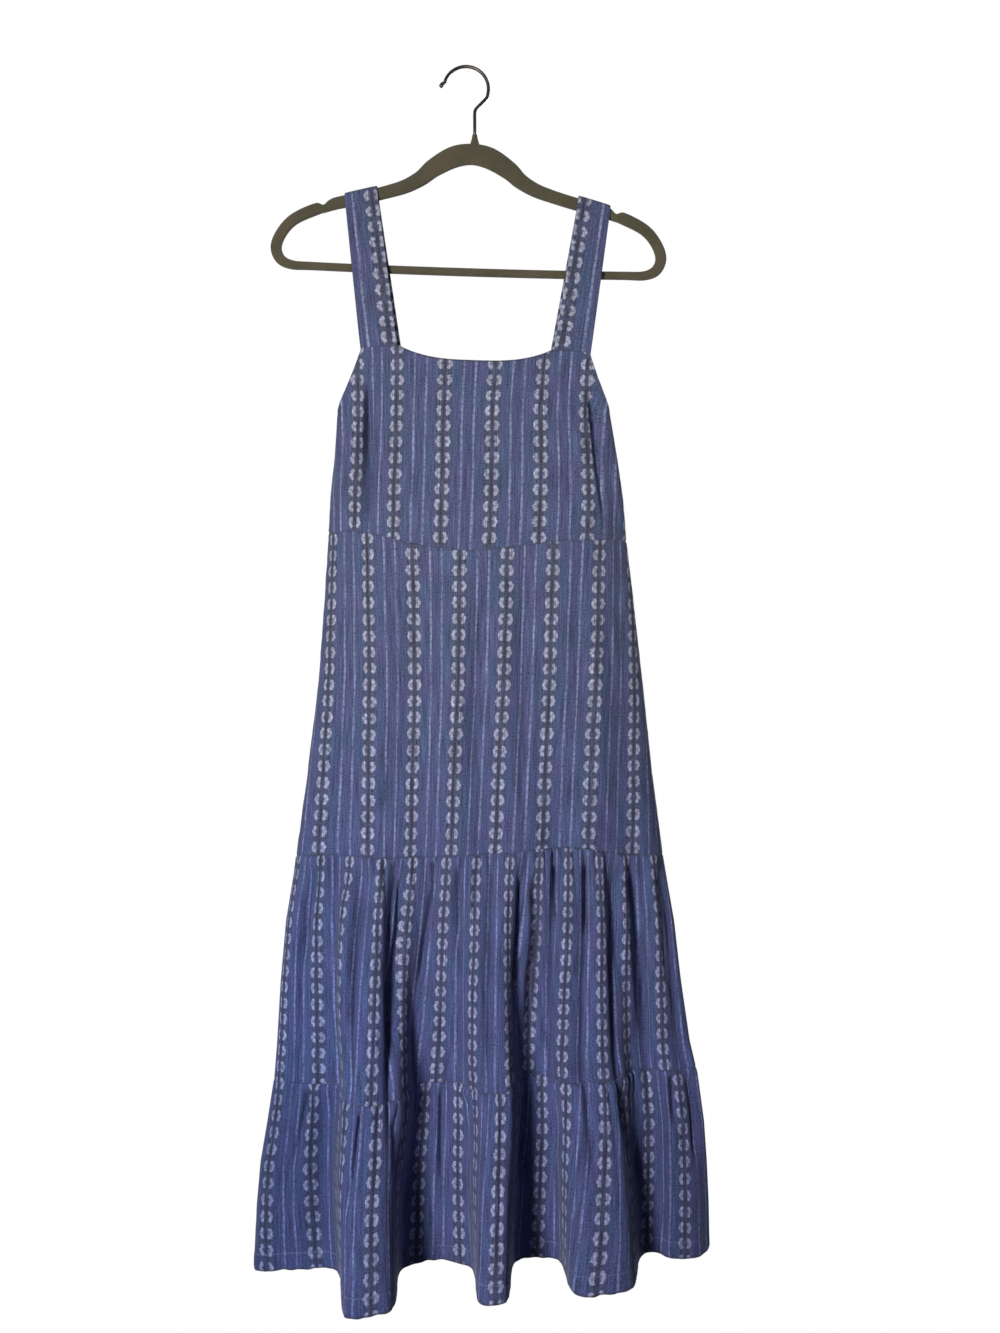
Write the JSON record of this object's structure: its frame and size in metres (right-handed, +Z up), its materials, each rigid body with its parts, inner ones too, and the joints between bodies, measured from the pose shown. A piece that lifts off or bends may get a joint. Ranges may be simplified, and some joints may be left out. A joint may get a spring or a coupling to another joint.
{
  "type": "tiered midi dress on a clothes hanger",
  "caption": "Sleeveless square-neck midi dress with wide shoulder straps, a plain upper skirt and gathered tiers, hanging from a slim clothes hanger with a wire hook.",
  "frame": {"origin": "crown of the space inside the hanger's hook, where it rests on a rod", "axes": "+Z up, -Y towards the front of the dress, +X to the right as seen from the front"},
  "size_m": [0.5099, 0.2316, 1.3426],
  "materials": {
    "dobby": "light woven cotton, muted blue with paler woven flower stripes and fine dotted lines",
    "flock": "short dense flocking in dark olive grey over a moulded plastic core",
    "wire": "dark bronze-coloured steel wire, half gloss"
  },
  "bodies": {
    "root": {"bodice_front": "dobby", "bodice_back": "dobby", "strap_left": "dobby", "strap_right": "dobby", "skirt_front": "dobby", "skirt_back": "dobby", "tier_upper_front": "dobby", "tier_upper_back": "dobby", "tier_lower_front": "dobby", "tier_lower_back": "dobby", "hanger_frame": "flock", "hanger_hook": "wire"}
  },
  "joints": []
}
